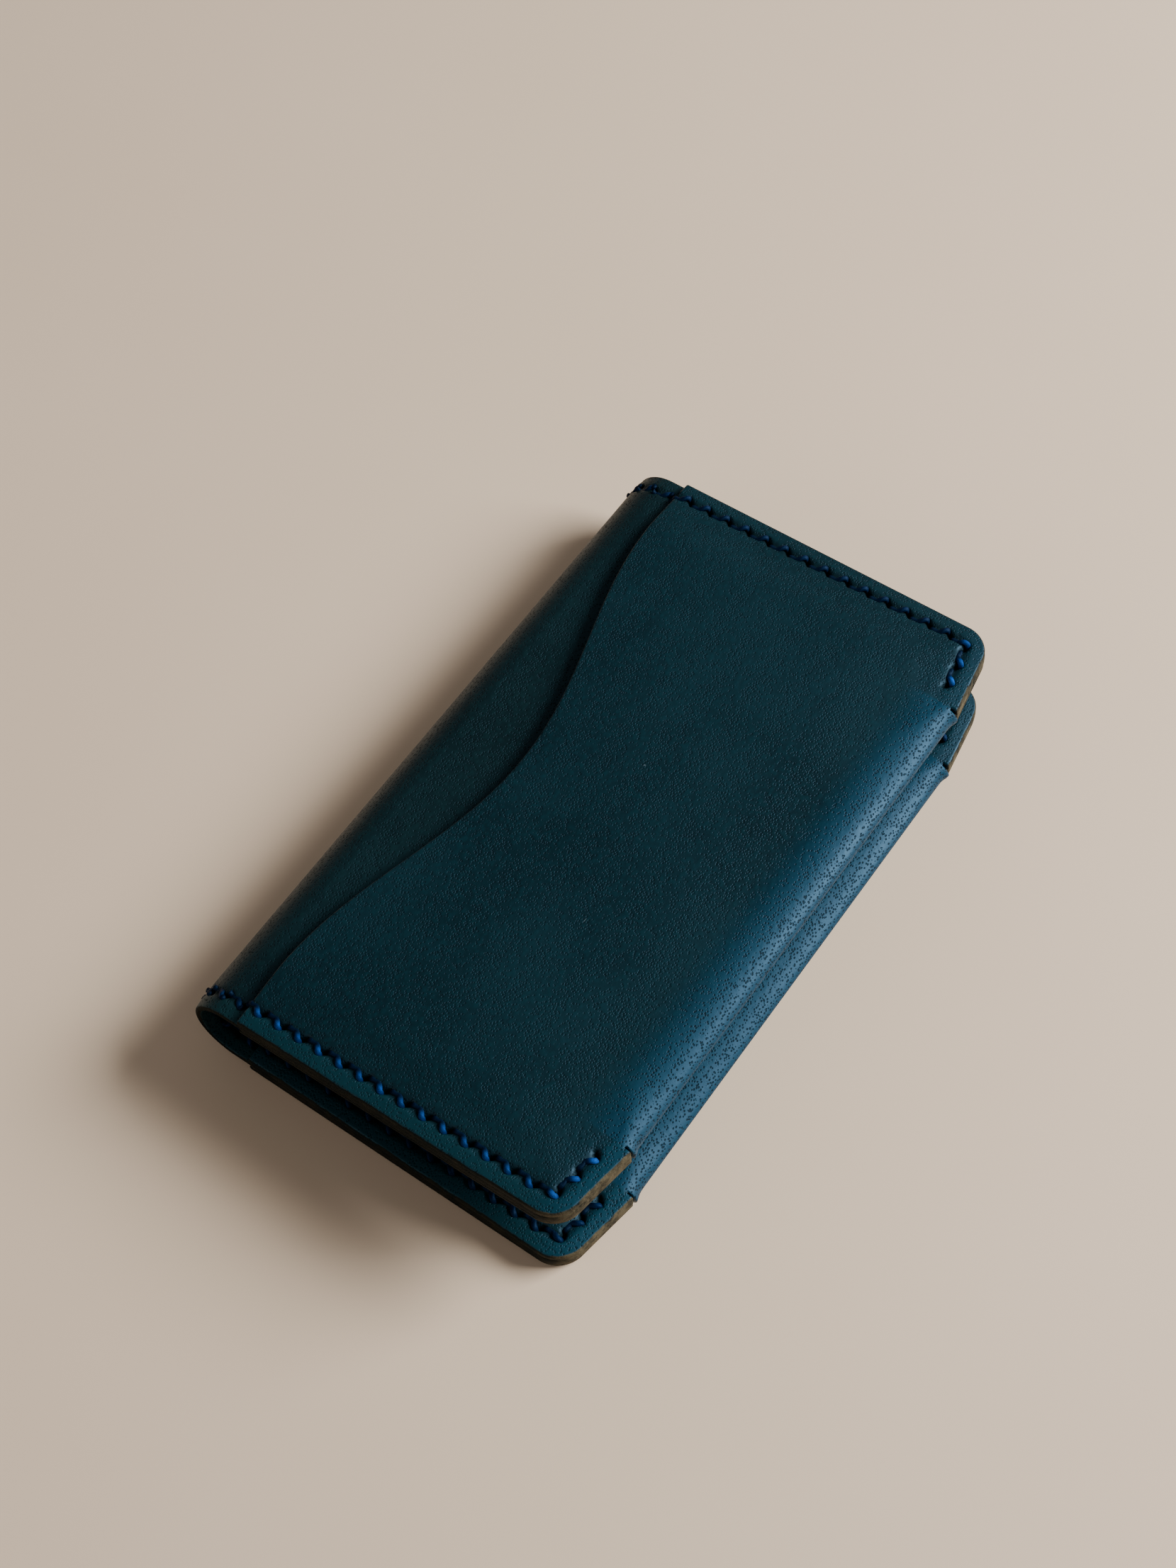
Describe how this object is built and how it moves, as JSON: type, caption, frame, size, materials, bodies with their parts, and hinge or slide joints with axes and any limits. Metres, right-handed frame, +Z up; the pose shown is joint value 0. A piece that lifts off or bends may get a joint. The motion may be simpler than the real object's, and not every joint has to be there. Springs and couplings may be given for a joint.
{
  "type": "bifold leather wallet",
  "caption": "Upright bifold card wallet in dark leather: shell bending round a spine, a pocket piece on each cover with curved mouths and a turned fold, saddle-stitched short edges.",
  "frame": {"origin": "middle of the footprint, on the surface the wallet lies on", "axes": "+X from the spine to the opening edge, +Y along the spine, +Z up through the closed wallet"},
  "size_m": [0.0626, 0.1064, 0.0187],
  "materials": {
    "shell_leather": "smooth vegetable-tanned leather, dark teal navy, fine pores, burnished edge",
    "pocket_leather": "smooth vegetable-tanned leather, teal navy, fine pores, soft satin sheen",
    "thread": "waxed twisted polyester thread, bright blue"
  },
  "bodies": {
    "back_panel": {"shell_back_cover": "shell_leather", "back_pocket_outer": "pocket_leather", "back_pocket_fold": "pocket_leather", "back_pocket_inner": "pocket_leather", "back_seam_near": "thread", "back_seam_far": "thread"},
    "spine_1": {"spine_strip_1": "shell_leather", "spine_stitch_1": "thread"},
    "spine_2": {"spine_strip_2": "shell_leather", "spine_stitch_2": "thread"},
    "spine_3": {"spine_strip_3": "shell_leather", "spine_stitch_3": "thread"},
    "spine_4": {"spine_strip_4": "shell_leather", "spine_stitch_4": "thread"},
    "spine_5": {"spine_strip_5": "shell_leather", "spine_stitch_5": "thread"},
    "front_panel": {"shell_front_cover": "shell_leather", "front_pocket_outer": "pocket_leather", "front_pocket_fold": "pocket_leather", "front_pocket_inner": "pocket_leather", "front_seam_near": "thread", "front_seam_far": "thread"}
  },
  "joints": [
    {"name": "spine_bend_1", "type": "hinge", "parent": "back_panel", "child": "spine_1", "pos_m": [-0.02667, 0, 0.0016], "axis": [0, -1, 0], "range_deg": [-1.2, 29.4]},
    {"name": "spine_bend_2", "type": "hinge", "parent": "spine_1", "child": "spine_2", "pos_m": [-0.02941, 0, 0.00315], "axis": [0, -1, 0], "range_deg": [-1.2, 29.4]},
    {"name": "spine_bend_3", "type": "hinge", "parent": "spine_2", "child": "spine_3", "pos_m": [-0.03104, 0, 0.00584], "axis": [0, -1, 0], "range_deg": [-1.2, 29.4]},
    {"name": "spine_bend_4", "type": "hinge", "parent": "spine_3", "child": "spine_4", "pos_m": [-0.03114, 0, 0.00898], "axis": [0, -1, 0], "range_deg": [-1.2, 29.4]},
    {"name": "spine_bend_5", "type": "hinge", "parent": "spine_4", "child": "spine_5", "pos_m": [-0.02969, 0, 0.01177], "axis": [0, -1, 0], "range_deg": [-1.2, 29.4]},
    {"name": "spine_bend_6", "type": "hinge", "parent": "spine_5", "child": "front_panel", "pos_m": [-0.02705, 0, 0.01349], "axis": [0, -1, 0], "range_deg": [-1.2, 29.4]}
  ],
  "couplings": [
    {"joint": "spine_bend_2", "follows": "spine_bend_1", "ratio": 1},
    {"joint": "spine_bend_3", "follows": "spine_bend_1", "ratio": 1},
    {"joint": "spine_bend_4", "follows": "spine_bend_1", "ratio": 1},
    {"joint": "spine_bend_5", "follows": "spine_bend_1", "ratio": 1},
    {"joint": "spine_bend_6", "follows": "spine_bend_1", "ratio": 1}
  ]
}
